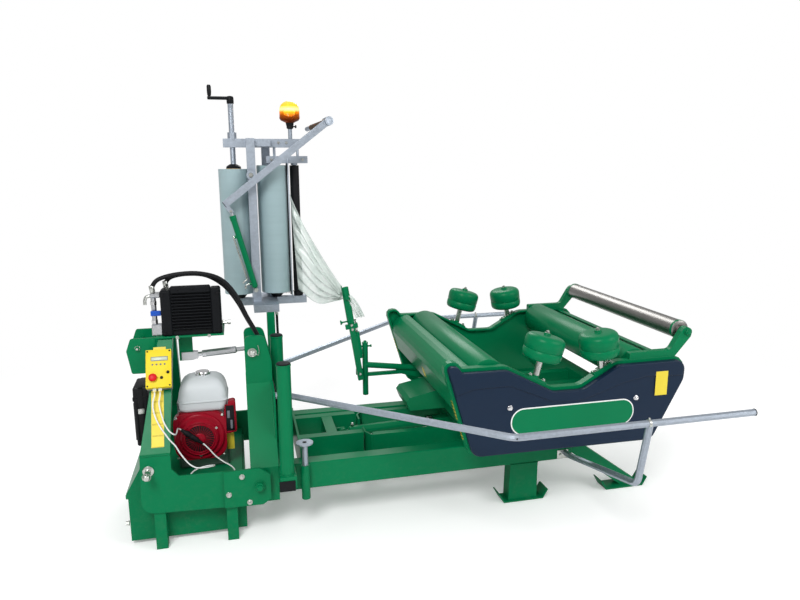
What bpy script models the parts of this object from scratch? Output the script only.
"""Turntable bale wrapper with its own engine-driven hydraulic pack, for a tractor's three-point linkage.

Units are metres, +Z up. Stations along X run from the headstock's front face (X = 0) to the rear,
where the bale is tipped off. Y = 0 is the machine's mid-plane and Z = 0 the floor. A root empty
shifts everything so that the origin is under the middle of the whole machine.
"""
import math

import bmesh
import bpy
from mathutils import Matrix, Vector

# Clearances
SEAT = 0.0003            # touching pieces
RUN = 0.006              # moving pieces beside fixed ones
BORE_RUN = 0.001         # a pin or shaft in its bore

# Chassis: two side beams behind the headstock
BEAM_REAR = 1.78
BEAM_OUTER_Y = 0.386
BEAM_WIDTH = 0.080
BEAM_BOTTOM = 0.222
BEAM_HEIGHT = 0.142

# Inner ladder that carries the tipping frame's cylinder
LADDER_FRONT = 0.270
LADDER_REAR = 0.620
LADDER_OUTER_Y = 0.170
LADDER_RAIL_WIDTH = 0.050
LADDER_TOP = 0.410
LADDER_RAIL_HEIGHT = 0.140
LADDER_CROSS_X = 0.420
LADDER_CROSS_LENGTH = 0.060

# Feet
FOOT_X = 1.406
FOOT_LENGTH = 0.165
SKID_LENGTH = 0.296
SKID_PLATE = 0.008
SKID_CURL = 0.030
REAR_LEG_REACH = 0.435
REAR_LEG_DEPTH = 0.093
REAR_LEG_WIDTH = 0.060

# Headstock
HEAD_DEPTH = 0.140
HEAD_TOP = 0.980
HEAD_SHOULDER = 0.720
HEAD_HALF_TOP = 0.100
HEAD_KNEE = 0.364
HEAD_HALF_FOOT = 0.386
HEAD_BOTTOM = 0.180
HEAD_WALL = 0.045
CHEEK_WALL = 0.016
TOP_PIN_X = 0.040
TOP_PIN_Z = 0.890
TOP_PIN_RADIUS = 0.0125

# Spare roll posts
POST_RADIUS = 0.035
POST_HEIGHT = 0.566
POST_X = 0.178
POST_BASE_Z = 0.360
POST_NEAR_Y = -0.470
POST_FAR_Y = 0.090
POST_BAR_HEIGHT = 0.060
POST_BAR_WIDTH = 0.080
POST_STUB_END = 0.515
VALVE_TOP = 0.430

# Parking stand, stored pushed up in its sleeve
STAND_X = 0.272
STAND_Y = -0.406
STAND_SLEEVE_RADIUS = 0.022
STAND_SLEEVE_BOTTOM = 0.183
STAND_SLEEVE_TOP = 0.365
STAND_ROD_RADIUS = 0.0155
STAND_DISC_RADIUS = 0.044
STAND_TOP = 0.488

# Guard rails
GUARD_RADIUS = 0.017
GUARD_START_Y = 0.270
GUARD_START_Z = 0.700
GUARD_BEND_X = 1.095
GUARD_Y = 1.120
GUARD_Z = 0.722
GUARD_REAR = 2.300
STAY_FOOT_X = 1.735
STAY_FOOT_Z = 0.262
STAY_KNEE_X = 1.703
STAY_KNEE_Z = 0.434
STAY_TOP_X = 1.747

# Power pack frame
PACK_FRONT = -0.524
PACK_REAR = -0.100
PACK_OUTER_Y = 0.412
PACK_PLATE = 0.012
PACK_BOTTOM = 0.192
PACK_SILL = 0.380
PACK_FOLD = 0.498
PACK_COLUMN_FOOT = 0.140
PACK_COLUMN_TOP = 0.070
PACK_COLUMN_TOP_X = -0.424
PACK_COLUMN_TOP_Y = 0.100
PACK_COLUMN_DEPTH = 0.050
PACK_TOP = 0.997
PACK_LEG = 0.054
PACK_LEG_FRONT_X = -0.442
PACK_LEG_REAR_X = -0.064
HITCH_PLATE = 0.012
HITCH_PLATE_REAR = 0.096
HITCH_PIN_X = 0.042
HITCH_PIN_Z = 0.287
LINK_PIN_X = -0.477
LINK_PIN_Z = 0.423

# Oil tank and tray
TANK_FRONT = -0.604
TANK_REAR = -0.030
TANK_HALF_WIDTH = 0.330
TANK_BOTTOM = 0.022
TANK_TOP = 0.263
TANK_COVER_TOP = 0.397
TRAY_TOP = 0.275

# Engine
COWL_FRONT_Y = -0.175
COWL_CENTRE_Z = 0.470

# Oil cooler
COOLER_FRONT = -0.400
COOLER_REAR = -0.105
COOLER_TOP = 1.245
COOLER_NEAR_Y = -0.110
COOLER_DEPTH = 0.090
COOLER_FINS = 12

# Control box on the near column
CONTROL_X = -0.415
CONTROL_Z = 0.850
CONTROL_WIDTH = 0.118
CONTROL_HEIGHT = 0.190

# Film dispenser
DISPENSER_Y = 0.580
ROLL_RADIUS = 0.090
ROLL_BOTTOM = 1.090
ROLL_HEIGHT = 0.750
ROLL_TOP = ROLL_BOTTOM + ROLL_HEIGHT
ROLL_X = -0.006
BAND_ROLL_X = 0.218
BAND_ROLL_TOP = ROLL_TOP + 0.020
RUBBER_ROLL_X = 0.352
RUBBER_ROLL_RADIUS = 0.028
MAST_WIDTH = 0.050
MAST_X = 0.094
MAST_Y = 0.485
BACK_MAST_X = 0.190
BACK_MAST_Y = 0.715
BASE_RAIL_Z = 1.010
BASE_RAIL_HEIGHT = 0.045
TOP_BEAM_Z = ROLL_TOP + 0.125
TOP_BEAM_HEIGHT = 0.050
DISPENSER_FRONT = -0.060
DISPENSER_REAR = 0.400
SPINDLE_RADIUS = 0.016
CRANK_RISE = 0.410
CRANK_Z = ROLL_TOP + CRANK_RISE
CRANK_ARM = 0.115
CRANK_HANDLE = 0.070
BEACON_X = 0.335
BEACON_RADIUS = 0.062
BEACON_FOOT = TOP_BEAM_Z + 0.145
BEACON_HEIGHT = 0.125

# Press-down lever and its cylinder
LEVER_Y = 0.424
LEVER_TUBE = 0.040
LEVER_PIVOT_X = 0.089
LEVER_PIVOT_Z = ROLL_TOP - 0.035
LEVER_TAIL = 0.225
LEVER_REACH = 0.545
LEVER_ANGLE = 37.8
LEVER_DROP = 0.036
LEVER_CROSS_BAR = 0.300
LEVER_TRAVEL = 60.0
LEVER_EYE_X = -0.034
LEVER_EYE_Z = LEVER_PIVOT_Z - 0.205
LEVER_BASE_X = 0.088
LEVER_BASE_Z = 1.130
LEVER_BARREL_RADIUS = 0.017
LEVER_ROD_RADIUS = 0.009

# Tipping frame
TIP_HINGE_X = 1.800
TIP_HINGE_Z = 0.300
TIP_TRAVEL = 35.0
TIP_NOSE_X = 0.630
TIP_OUTER_Y = 0.190
TIP_WALL = 0.040
TIP_TOP = 0.398
TIP_CYLINDER_X = 0.530
TIP_CYLINDER_Z = 0.350
TIP_EYE_X = 1.050
TIP_EYE_Z = 0.368
TIP_BARREL_RADIUS = 0.030
TIP_ROD_RADIUS = 0.016
HINGE_PIN_RADIUS = 0.016

# Turntable
TABLE_X = 1.590
TABLE_HALF_LENGTH = 0.680
HUB_RADIUS = 0.150
HUB_BOTTOM = 0.418
HUB_HEIGHT = 0.060
TABLE_BEAM_BOTTOM = 0.475
TABLE_BEAM_OFFSET = 0.395
TABLE_BEAM_WIDTH = 0.080
TABLE_BEAM_TOP = 0.600
COVER_DEPTH = 0.040
COVER_REAR = 0.665
END_PLATE_DEPTH = 0.040
END_PLATE_RIM = 0.014
END_PLATE_WALL = 0.008
TABLE_ROLLER_OFFSET = 0.410
TABLE_ROLLER_RADIUS = 0.095
TABLE_ROLLER_Z = 0.812
APRON_RADIUS = 0.098
APRON_WALL = 0.005

# Guide drums on the end plates' flanks
DRUM_RADIUS = 0.100
DRUM_HEIGHT = 0.130
DRUM_GROOVE = 0.004
DRUM_Y = TABLE_HALF_LENGTH - 0.060
DRUM_LEFT = (1.430, 0.838, 1.477, 1.022)
DRUM_RIGHT = (1.789, 0.836, 1.760, 1.020)
DRUM_SHAFT_RADIUS = 0.011

# Support roller, just past the end plates' rear corners
SUPPORT_REACH = 0.017
SUPPORT_X = TABLE_X + COVER_REAR + SUPPORT_REACH
SUPPORT_Z = 0.990
SUPPORT_RADIUS = 0.050
SUPPORT_SHAFT = 0.012
SUPPORT_ARM_Y = TABLE_HALF_LENGTH - 0.060
SUPPORT_ARM_GAP = 0.053
SUPPORT_ARM_HALF = 0.018

# Film clamp
CLAMP_Y = 0.300
CLAMP_TUBE_Z = 0.652
CLAMP_POST_X = 0.722
CLAMP_POST_BOTTOM = 0.460
CLAMP_POST_TOP = 0.790
CLAMP_PIVOT_X = 0.681
CLAMP_PIVOT_Z = 0.610
CLAMP_TIP_X = 0.598
CLAMP_TIP_Z = 1.150
CLAMP_ARM_Y = CLAMP_Y - 0.0375
CLAMP_ARM_DEPTH = 0.026
CLAMP_LUG = 0.006

# Stretch film: x, y, lower and upper edge at the dispenser and beside the clamp
FILM_EDGES = ((0.4030, 0.560, 1.030, ROLL_TOP - 0.100), (0.532, 0.344, 1.070, 1.165))

# Hoses: name, radius, and the route's points
HOSES = (
    ("hose_return", 0.011, (
        (-0.436, -0.065, 1.2279), (-0.436, -0.065, 1.260), (-0.402, -0.063, 1.297), (-0.310, -0.058, 1.318),
        (-0.200, -0.052, 1.316), (-0.100, -0.047, 1.280), (-0.030, -0.044, 1.195), (0.020, -0.043, 1.080),
        (0.076, -0.043, 0.960), (0.105, -0.043, 0.840), (0.135, -0.040, 0.700), (0.164, -0.038, 0.580),
        (0.178, -0.036, 0.500), (0.180, -0.036, 0.4303))),
    ("hose_supply", 0.011, (
        (-0.373, -0.031, 1.2454), (-0.373, -0.031, 1.275), (-0.340, -0.029, 1.302), (-0.262, -0.024, 1.312),
        (-0.170, -0.018, 1.298), (-0.085, -0.013, 1.240), (-0.022, -0.010, 1.150), (0.026, -0.010, 1.050),
        (0.086, -0.010, 0.930), (0.112, -0.010, 0.810), (0.138, -0.009, 0.690), (0.164, -0.007, 0.580),
        (0.178, -0.006, 0.500), (0.180, -0.006, 0.4303))),
    ("hose_lever_front", 0.0075, (
        (0.200, 0.345, 1.0107), (0.200, 0.345, 0.900), (0.202, 0.340, 0.750), (0.205, 0.325, 0.620),
        (0.205, 0.290, 0.500), (0.190, 0.250, 0.425), (0.186, 0.240, 0.385), (0.186, 0.240, 0.3604))),
    ("hose_lever_back", 0.0075, (
        (0.200, 0.366, 1.0107), (0.201, 0.365, 0.900), (0.208, 0.359, 0.750), (0.222, 0.342, 0.620),
        (0.222, 0.312, 0.500), (0.206, 0.280, 0.430), (0.196, 0.268, 0.385), (0.196, 0.268, 0.3604))))

# Cables: name, radius, and the route's points
GLAND_LENGTH = 0.022
CABLE_GAP = 0.0008
PLUG_START = (-0.332, -0.1996, 0.531)
PLUG_END = (-0.236, -0.1996, 0.450)
PLUG_RADIUS = 0.014
CABLES = (
    ("cable_engine", 0.0035, (
        (-0.412, -0.2763, 0.7712), (-0.412, -0.2840, 0.7590), (-0.418, -0.302, 0.722),
        (-0.410, -0.326, 0.680),
        (-0.394, -0.352, 0.632), (-0.371, -0.372, 0.598), (-0.351, -0.362, 0.576), (-0.346, -0.318, 0.564),
        (-0.347, -0.262, 0.558),
        (-0.349, -0.222, 0.5505), (-0.3415, -0.2005, 0.5390), (-0.3323, -0.1996, 0.5313))),
    ("cable_control", 0.0035, (
        (-0.438, -0.2763, 0.7712), (-0.438, -0.2840, 0.7590), (-0.447, -0.304, 0.720),
        (-0.440, -0.330, 0.676),
        (-0.420, -0.355, 0.632), (-0.396, -0.376, 0.596), (-0.372, -0.389, 0.562), (-0.348, -0.388, 0.528),
        (-0.335, -0.380, 0.495), (-0.314, -0.376, 0.455), (-0.290, -0.378, 0.422), (-0.258, -0.376, 0.398),
        (-0.215, -0.358, 0.386), (-0.182, -0.325, 0.374), (-0.178, -0.285, 0.360), (-0.208, -0.262, 0.350),
        (-0.252, -0.264, 0.344), (-0.287, -0.290, 0.336), (-0.300, -0.318, 0.318), (-0.302, -0.325, 0.296),
        (-0.302, -0.325, 0.2753))),
    ("cable_starter", 0.0035, (
        (-0.2357, -0.1996, 0.4497), (-0.2270, -0.1996, 0.4425), (-0.205, -0.203, 0.418),
        (-0.172, -0.222, 0.382),
        (-0.134, -0.244, 0.356), (-0.100, -0.262, 0.340), (-0.082, -0.270, 0.322), (-0.078, -0.272, 0.300),
        (-0.078, -0.272, 0.2753))))

# Whole machine
FRONT_MOST = TANK_FRONT
REAR_MOST = SUPPORT_X + SUPPORT_RADIUS
MIDDLE_X = (FRONT_MOST + REAR_MOST) / 2

# The cover's outline: offset from the turntable's axis, height, corner radius
COVER_CORNERS = [
    (-0.655, 0.915, 0.022), (-0.598, 0.905, 0.018), (-0.572, 0.873, 0.020), (-0.340, 0.870, 0.080),
    (-0.085, 0.738, 0.060), (0.075, 0.736, 0.080), (0.275, 0.850, 0.080),
    (COVER_REAR, 0.852, 0.055), (COVER_REAR - 0.005, 0.745, 0.080), (0.492, 0.422, 0.060), (-0.510, 0.430, 0.060)]

# Colour, roughness and metallic value of each finish
FINISHES = {
    "green paint": ((0.0, 0.205, 0.072), 0.35, 0.0),
    "navy plastic": ((0.022, 0.034, 0.060), 0.38, 0.0),
    "galvanised steel": ((0.55, 0.57, 0.60), 0.42, 0.9),
    "bright steel": ((0.62, 0.61, 0.58), 0.28, 1.0),
    "film": ((0.36, 0.45, 0.43), 0.30, 0.0),
    "clear film": ((0.62, 0.70, 0.67), 0.25, 0.0),
    "black rubber": ((0.012, 0.012, 0.013), 0.60, 0.0),
    "black plastic": ((0.018, 0.019, 0.021), 0.45, 0.0),
    "black paint": ((0.012, 0.014, 0.017), 0.40, 0.0),
    "red paint": ((0.420, 0.004, 0.020), 0.28, 0.0),
    "white paint": ((0.70, 0.71, 0.72), 0.35, 0.0),
    "yellow plastic": ((0.80, 0.62, 0.04), 0.45, 0.0),
    "amber lens": ((0.95, 0.38, 0.01), 0.18, 0.0),
    "white cable": ((0.62, 0.63, 0.63), 0.45, 0.0),
    "cast aluminium": ((0.33, 0.33, 0.34), 0.50, 0.8),
}

# Each body's joint station, in the headstock's own coordinates
BODIES = {
    "chassis": (0.0, 0.0, 0.0),
    "parking_stand": (STAND_X, STAND_Y, STAND_SLEEVE_TOP),
    "supply_roll": (ROLL_X, DISPENSER_Y, ROLL_BOTTOM),
    "band_roll": (BAND_ROLL_X, DISPENSER_Y, ROLL_BOTTOM),
    "rubber_roll": (RUBBER_ROLL_X, DISPENSER_Y, ROLL_BOTTOM),
    "lever": (LEVER_PIVOT_X, LEVER_Y, LEVER_PIVOT_Z),
    "lever_barrel": (LEVER_BASE_X, LEVER_Y, LEVER_BASE_Z),
    "lever_rod": (LEVER_EYE_X, LEVER_Y, LEVER_EYE_Z),
    "tip_frame": (TIP_HINGE_X, 0.0, TIP_HINGE_Z),
    "tip_barrel": (TIP_CYLINDER_X, 0.0, TIP_CYLINDER_Z),
    "tip_rod": (TIP_EYE_X, 0.0, TIP_EYE_Z),
    "table": (TABLE_X, 0.0, HUB_BOTTOM),
    "roller_left": (TABLE_X - TABLE_ROLLER_OFFSET, 0.0, TABLE_ROLLER_Z),
    "roller_right": (TABLE_X + TABLE_ROLLER_OFFSET, 0.0, TABLE_ROLLER_Z),
    "support_roller": (SUPPORT_X, 0.0, SUPPORT_Z),
    "film_clamp": (CLAMP_PIVOT_X, CLAMP_Y, CLAMP_PIVOT_Z),
}

SIDES = (("near", -1), ("far", 1))
for end_name, end_side in SIDES:
    for flank, (_, _, drum_x, drum_z) in (("left", DRUM_LEFT), ("right", DRUM_RIGHT)):
        BODIES["drum_" + end_name + "_" + flank] = (drum_x, end_side * DRUM_Y, drum_z)
anchors = {}


# Modelling helpers

def clear_scene():
    for leftover in list(bpy.data.objects):
        bpy.data.objects.remove(leftover, do_unlink=True)


def rounded(corners, steps=3):
    """Outline with each corner (u, v, radius) replaced by an arc of that radius."""
    outline = []
    count = len(corners)
    for index, (u, v, radius) in enumerate(corners):
        here = Vector((u, v))
        before = (Vector(corners[index - 1][:2]) - here).normalized()
        after = (Vector(corners[(index + 1) % count][:2]) - here).normalized()
        if radius <= 0.0:
            outline.append(here)
            continue
        half = math.acos(max(-1.0, min(1.0, before.dot(after)))) / 2
        reach = radius / math.tan(half)
        start = here + before * reach
        end = here + after * reach
        centre = here + (before + after).normalized() * (radius / math.sin(half))
        first = (start - centre)
        turn = first.angle_signed(end - centre)
        for step in range(steps + 1):
            swing = Matrix.Rotation(-turn * step / steps, 2)
            outline.append(centre + swing @ first)
    return outline


def grown(corners, distance):
    """The same corners moved outward by distance; corners run clockwise seen from the near side."""
    result = []
    count = len(corners)
    for index, (u, v, radius) in enumerate(corners):
        here = Vector((u, v))
        along = (here - Vector(corners[index - 1][:2])).normalized()
        onward = (Vector(corners[(index + 1) % count][:2]) - here).normalized()
        normal = Vector((-along.y, along.x)) + Vector((-onward.y, onward.x))
        normal.normalize()
        reach = distance / normal.dot(Vector((-along.y, along.x)))
        moved = here + normal * reach
        convex = along.x * onward.y - along.y * onward.x < 0
        result.append((moved.x, moved.y, radius + distance if convex else max(radius - distance, 0.002)))
    return result


def from_bmesh(name, shape):
    mesh = bpy.data.meshes.new(name)
    bmesh.ops.recalc_face_normals(shape, faces=shape.faces)
    shape.to_mesh(mesh)
    shape.free()
    body = bpy.data.objects.new(name, mesh)
    bpy.context.scene.collection.objects.link(body)
    return body


def prism(name, outline, along, start, end):
    """An outline in the plane across one axis, extruded along it from start to end."""
    place = {
        "X": lambda u, v: (start, u, v),
        "Y": lambda u, v: (u, start, v),
        "Z": lambda u, v: (u, v, start)}[along]
    push = {"X": (end - start, 0, 0), "Y": (0, end - start, 0), "Z": (0, 0, end - start)}[along]
    shape = bmesh.new()
    face = shape.faces.new([shape.verts.new(place(point[0], point[1])) for point in outline])
    extruded = bmesh.ops.extrude_face_region(shape, geom=[face])
    moved = [item for item in extruded["geom"] if isinstance(item, bmesh.types.BMVert)]
    bmesh.ops.translate(shape, verts=moved, vec=push)
    return from_bmesh(name, shape)


def box(name, low, high, edge=0.0):
    """A block between two corners, its edges bevelled by edge."""
    shape = bmesh.new()
    bmesh.ops.create_cube(shape, size=1.0)
    size = [high[axis] - low[axis] for axis in range(3)]
    bmesh.ops.scale(shape, verts=shape.verts, vec=size)
    bmesh.ops.translate(shape, verts=shape.verts, vec=[(high[a] + low[a]) / 2 for a in range(3)])
    if edge > 0:
        bmesh.ops.bevel(shape, geom=list(shape.edges), offset=edge, segments=1, affect="EDGES")
    return from_bmesh(name, shape)


def turned(name, profile, base, axis, steps=20):
    """A profile of (radius, distance along the axis) points spun about that axis from base."""
    shape = bmesh.new()
    points = [shape.verts.new((radius, 0.0, height)) for radius, height in profile]
    for first, second in zip(points, points[1:]):
        shape.edges.new((first, second))
    bmesh.ops.spin(shape, geom=list(shape.verts) + list(shape.edges), cent=(0, 0, 0), axis=(0, 0, 1),
                   angle=math.tau, steps=steps, use_merge=True)
    bmesh.ops.remove_doubles(shape, verts=shape.verts, dist=1e-6)
    turn = Vector((0, 0, 1)).rotation_difference(Vector(axis).normalized()).to_matrix().to_4x4()
    bmesh.ops.transform(shape, matrix=Matrix.Translation(base) @ turn, verts=shape.verts)
    body = from_bmesh(name, shape)
    body.data.shade_smooth()
    body.data.set_sharp_from_angle(angle=math.radians(35))
    return body


def rod(name, start, end, radius, steps=12):
    """A plain round bar between two points."""
    start = Vector(start)
    length = (Vector(end) - start).length
    profile = [(0.0, 0.0), (radius, 0.0), (radius, length), (0.0, length)]
    return turned(name, profile, start, Vector(end) - start, steps)


def bar(name, start, end, width, depth, side=(0, 1, 0)):
    """A square or flat bar between two points; width is across, depth runs along side."""
    start = Vector(start)
    along = (Vector(end) - start)
    length = along.length
    along.normalize()
    side = Vector(side).normalized()
    across = side.cross(along).normalized()
    side = along.cross(across)
    turn = Matrix((across, side, along)).transposed().to_4x4()
    shape = bmesh.new()
    bmesh.ops.create_cube(shape, size=1.0)
    bmesh.ops.scale(shape, verts=shape.verts, vec=(width, depth, length))
    bmesh.ops.translate(shape, verts=shape.verts, vec=(0, 0, length / 2))
    bmesh.ops.transform(shape, matrix=Matrix.Translation(start) @ turn, verts=shape.verts)
    return from_bmesh(name, shape)


def smooth_route(points, per_span):
    """Points on a smooth curve through the route's own points."""
    padded = [points[0]] + list(points) + [points[-1]]
    route = []
    for index in range(len(points) - 1):
        a, b, c, d = [Vector(padded[index + step]) for step in range(4)]
        for step in range(per_span):
            t = step / per_span
            route.append(0.5 * ((2 * b) + (c - a) * t + (2 * a - 5 * b + 4 * c - d) * t * t
                                + (3 * b - a - 3 * c + d) * t * t * t))
    route.append(Vector(points[-1]))
    return route


def bent_route(points, bend, steps=4):
    """Points along a bent tube: each inner corner becomes an arc-like bend of that reach."""
    route = [Vector(points[0])]
    for before, here, after in zip(points, points[1:], points[2:]):
        here = Vector(here)
        start = here + (Vector(before) - here).normalized() * bend
        end = here + (Vector(after) - here).normalized() * bend
        for step in range(steps + 1):
            t = step / steps
            route.append(start * (1 - t) ** 2 + here * 2 * t * (1 - t) + end * t * t)
    route.append(Vector(points[-1]))
    return route


def tube(name, route, radius, resolution=2):
    """A round tube or hose along a route, as a curve with filled caps."""
    data = bpy.data.curves.new(name, "CURVE")
    data.dimensions = "3D"
    data.bevel_depth = radius
    data.bevel_resolution = resolution
    data.use_fill_caps = True
    spline = data.splines.new("POLY")
    spline.points.add(len(route) - 1)
    for point, place in zip(spline.points, route):
        point.co = (place[0], place[1], place[2], 1.0)
    body = bpy.data.objects.new(name, data)
    bpy.context.scene.collection.objects.link(body)
    return body


def as_mesh(curve):
    """A curve object made into a mesh object of the same name, so that it can be welded."""
    graph = bpy.context.evaluated_depsgraph_get()
    mesh = bpy.data.meshes.new_from_object(curve.evaluated_get(graph))
    name = curve.name
    bpy.data.objects.remove(curve, do_unlink=True)
    body = bpy.data.objects.new(name, mesh)
    bpy.context.scene.collection.objects.link(body)
    shape = bmesh.new()
    shape.from_mesh(mesh)
    bmesh.ops.remove_doubles(shape, verts=shape.verts, dist=1e-5)
    bmesh.ops.recalc_face_normals(shape, faces=shape.faces)
    shape.to_mesh(mesh)
    shape.free()
    return body


def combine(body, operation, others):
    for other in others:
        step = body.modifiers.new(operation.lower() + " " + other.name, "BOOLEAN")
        step.operation = operation
        step.solver = "EXACT"
        step.object = other
        other.hide_render = True
        other.display_type = "WIRE"
        other.parent = anchors["machine"]
    return body


def welded(body, *others):
    return combine(body, "UNION", others)


def cut(body, *others):
    return combine(body, "DIFFERENCE", others)


def finish(body, finish_name, owner="chassis"):
    """Give a piece its own material and hang it on its body's anchor."""
    colour, roughness, metallic = FINISHES[finish_name]
    material = bpy.data.materials.new(body.name + " " + finish_name)
    material.use_nodes = True
    shader = material.node_tree.nodes["Principled BSDF"]
    shader.inputs["Base Color"].default_value = (*colour, 1.0)
    shader.inputs["Roughness"].default_value = roughness
    shader.inputs["Metallic"].default_value = metallic
    body.data.materials.clear()
    body.data.materials.append(material)
    body.parent = anchors[owner]
    body.location = -Vector(BODIES[owner])
    return body


def make_anchors():
    machine = bpy.data.objects.new("machine", None)
    bpy.context.scene.collection.objects.link(machine)
    machine.location = (-MIDDLE_X, 0.0, 0.0)
    anchors["machine"] = machine
    for body, station in BODIES.items():
        anchor = bpy.data.objects.new("joint " + body, None)
        bpy.context.scene.collection.objects.link(anchor)
        anchor.parent = machine
        anchor.location = station
        anchors[body] = anchor


# Chassis

def skid(name, centre_x, y_low, y_high):
    """Ground plate with both ends curled up."""
    half = SKID_LENGTH / 2
    rise = SKID_CURL + 0.022
    top = [(centre_x - half, rise), (centre_x - half + SKID_CURL, 0.0), (centre_x + half - SKID_CURL, 0.0),
           (centre_x + half, rise)]
    back = [(top[3][0] - SKID_PLATE, rise), (top[2][0] - SKID_PLATE / 2, SKID_PLATE),
            (top[1][0] + SKID_PLATE / 2, SKID_PLATE), (top[0][0] + SKID_PLATE, rise)]
    return prism(name, top + back, "Y", y_low, y_high)


def make_chassis():
    inner_y = BEAM_OUTER_Y - BEAM_WIDTH
    beam_top = BEAM_BOTTOM + BEAM_HEIGHT
    ladder_bottom = LADDER_TOP - LADDER_RAIL_HEIGHT
    for name, side in SIDES:
        low, high = sorted((side * BEAM_OUTER_Y, side * inner_y))
        beam = box("side_beam_" + name, (HEAD_DEPTH + SEAT, low, BEAM_BOTTOM), (BEAM_REAR, high, beam_top),
                   0.005)
        foot = prism("front foot " + name, [
            (FOOT_X - 0.006, SKID_PLATE / 2), (FOOT_X + FOOT_LENGTH, SKID_PLATE / 2),
            (FOOT_X + FOOT_LENGTH, BEAM_BOTTOM + 0.010), (FOOT_X, BEAM_BOTTOM + 0.010)],
            "Y", low + 0.002, high - 0.002)
        leg_x = BEAM_REAR - 0.010
        leg_top = beam_top - 0.012
        slope = (leg_top - SKID_PLATE) / (REAR_LEG_REACH + 0.036)
        lower_end = leg_x + (leg_top - REAR_LEG_DEPTH - SKID_PLATE / 2) / slope
        leg_end = BEAM_REAR + REAR_LEG_REACH
        leg_low, leg_high = sorted((side * (inner_y + REAR_LEG_WIDTH), side * (inner_y + 0.002)))
        leg = prism("rear leg " + name, [
            (leg_x, leg_top), (leg_x, leg_top - REAR_LEG_DEPTH), (lower_end, SKID_PLATE / 2),
            (leg_end, SKID_PLATE / 2), (leg_end, SKID_PLATE + 0.020)], "Y", leg_low, leg_high)
        skid_low, skid_high = low - 0.010, high + 0.010
        front_skid = skid("front skid " + name, FOOT_X + FOOT_LENGTH / 2, skid_low, skid_high)
        rear_skid = skid("rear skid " + name, leg_end - 0.090, skid_low, skid_high)
        welded(beam, foot, leg, front_skid, rear_skid)
        if name == "near":
            welded(beam, stand_sleeve())
        finish(beam, "green paint")

    frame = box("ladder_frame", (LADDER_FRONT - 0.012, -inner_y + SEAT, BEAM_BOTTOM + 0.020),
                (LADDER_FRONT, inner_y - SEAT, LADDER_TOP))
    rail_inner = LADDER_OUTER_Y - LADDER_RAIL_WIDTH
    members = [
        box("ladder cross", (LADDER_CROSS_X, -rail_inner - 0.010, LADDER_TOP - 0.100),
            (LADDER_CROSS_X + LADDER_CROSS_LENGTH, rail_inner + 0.010, LADDER_TOP - 0.002)),
        box("middle cross", (LADDER_REAR - 0.075, -inner_y + SEAT, ladder_bottom - 0.060),
            (LADDER_REAR - 0.005, inner_y - SEAT, ladder_bottom + 0.010))]
    for name, side in SIDES:
        rail_low, rail_high = sorted((side * LADDER_OUTER_Y, side * rail_inner))
        members.append(box("ladder rail " + name, (LADDER_FRONT - 0.006, rail_low, ladder_bottom),
                           (LADDER_REAR, rail_high, LADDER_TOP - 0.001)))
        lug_y = side * 0.0290
        members.append(box("tip lug " + name,
                           (LADDER_CROSS_X + 0.030, lug_y - 0.006, TIP_CYLINDER_Z - 0.018),
                           (TIP_CYLINDER_X + 0.014, lug_y + 0.006, TIP_CYLINDER_Z + 0.018)))
    members.append(rod("tip base pin", (TIP_CYLINDER_X, -0.038, TIP_CYLINDER_Z),
                       (TIP_CYLINDER_X, 0.038, TIP_CYLINDER_Z), 0.010))
    welded(frame, *members)
    finish(frame, "green paint")

    rear = box("rear_cross", (1.650, -inner_y + SEAT, BEAM_BOTTOM),
               (1.735, inner_y - SEAT, BEAM_BOTTOM + 0.038))
    brackets = []
    for name, side in SIDES:
        low, high = sorted((side * (TIP_OUTER_Y + RUN), side * (TIP_OUTER_Y + RUN + 0.020)))
        outline = rounded([(1.690, 0.240, 0), (1.690, 0.300, 0), (1.765, TIP_HINGE_Z + 0.035, 0.02),
                           (TIP_HINGE_X + 0.035, TIP_HINGE_Z + 0.035, 0.033),
                           (TIP_HINGE_X + 0.035, TIP_HINGE_Z - 0.035, 0.033), (1.735, 0.240, 0.0)])
        brackets.append(prism("hinge bracket " + name, outline, "Y", low, high))
    welded(rear, *brackets)
    bore = HINGE_PIN_RADIUS + BORE_RUN
    cut(rear, rod("hinge bore", (TIP_HINGE_X, -0.300, TIP_HINGE_Z), (TIP_HINGE_X, 0.300, TIP_HINGE_Z),
                  bore, 16))
    finish(rear, "green paint")


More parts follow.
